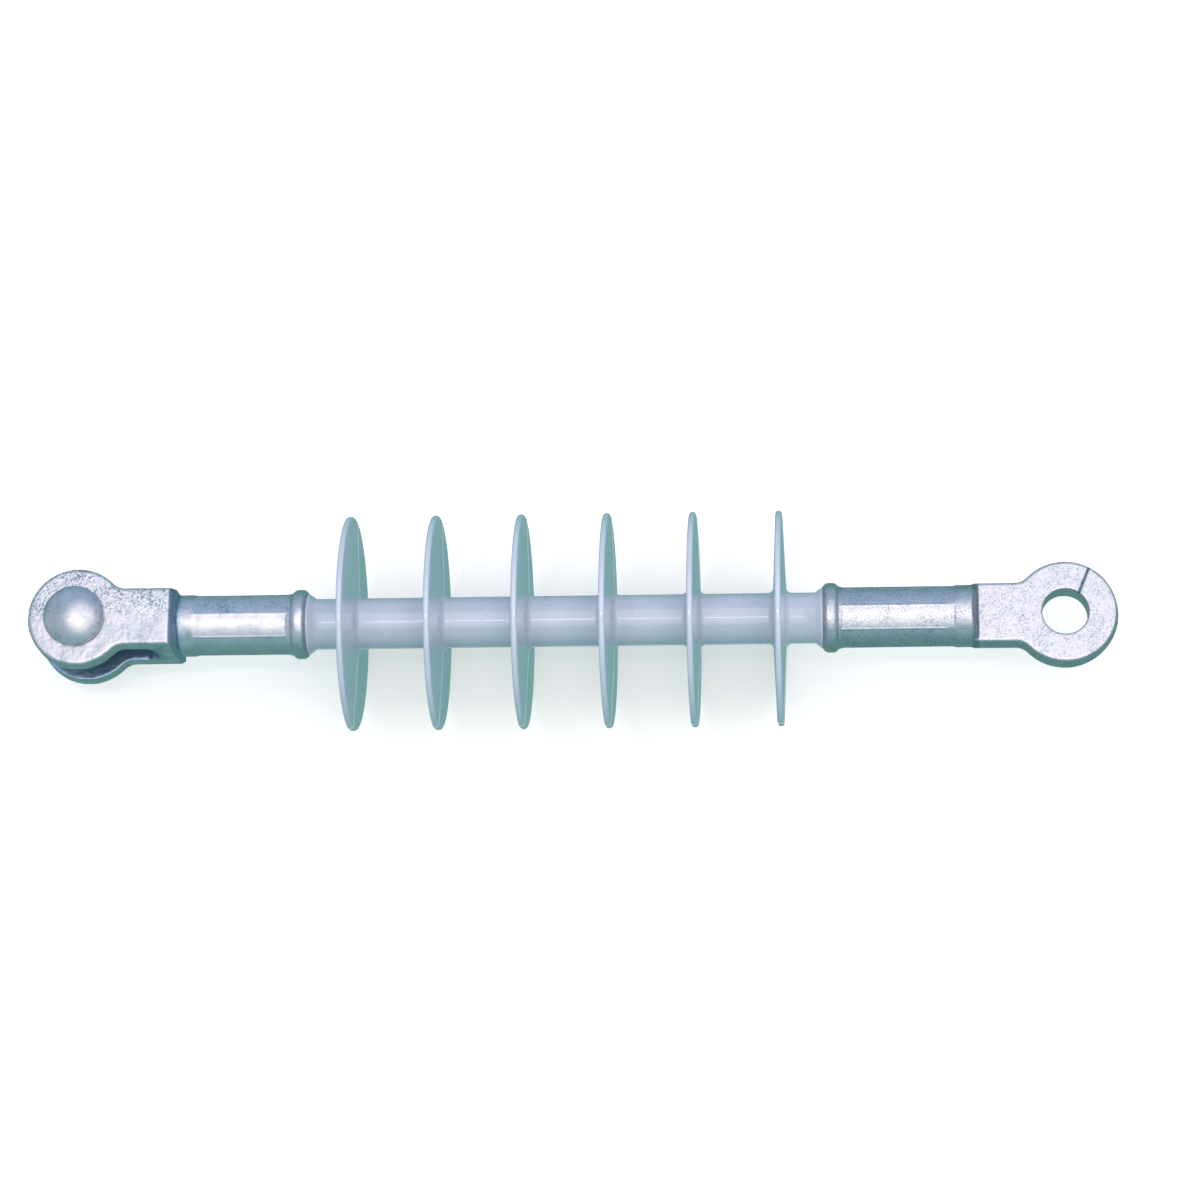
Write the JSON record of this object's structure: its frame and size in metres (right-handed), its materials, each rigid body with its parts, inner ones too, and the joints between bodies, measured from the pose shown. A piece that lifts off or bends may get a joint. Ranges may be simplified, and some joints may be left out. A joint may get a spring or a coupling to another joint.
{
  "type": "composite insulator",
  "caption": "Polymer long-rod insulator with round rubber sheds, a forged clevis and pin at one end and a flat tongue eye at the other.",
  "frame": {"origin": "centre of the clevis pin, half way between the two ears", "axes": "+X along the rod from the clevis to the tongue, +Z along the clevis pin towards its head, +Y completes the right-handed set"},
  "size_m": [0.4845, 0.096, 0.096],
  "materials": {
    "fibreglass": "resin-bonded glass fibre, satin",
    "silicone_rubber": "moulded, glossy light blue-grey",
    "galvanised_steel": "hot-dip galvanised over forged steel",
    "pin_steel": "hot-dip galvanised, smooth",
    "split_pin_steel": "drawn stainless wire"
  },
  "bodies": {
    "insulator": {"fibreglass_rod": "fibreglass", "rubber_housing": "silicone_rubber", "clevis_fitting": "galvanised_steel", "tongue_fitting": "galvanised_steel"},
    "pin": {"clevis_pin": "pin_steel", "split_pin": "split_pin_steel"}
  },
  "joints": [
    {"name": "clevis_pin_turn", "type": "hinge", "parent": "insulator", "child": "pin", "pos_m": [0, 0, 0], "axis": [0, 0, 1], "continuous": true}
  ]
}
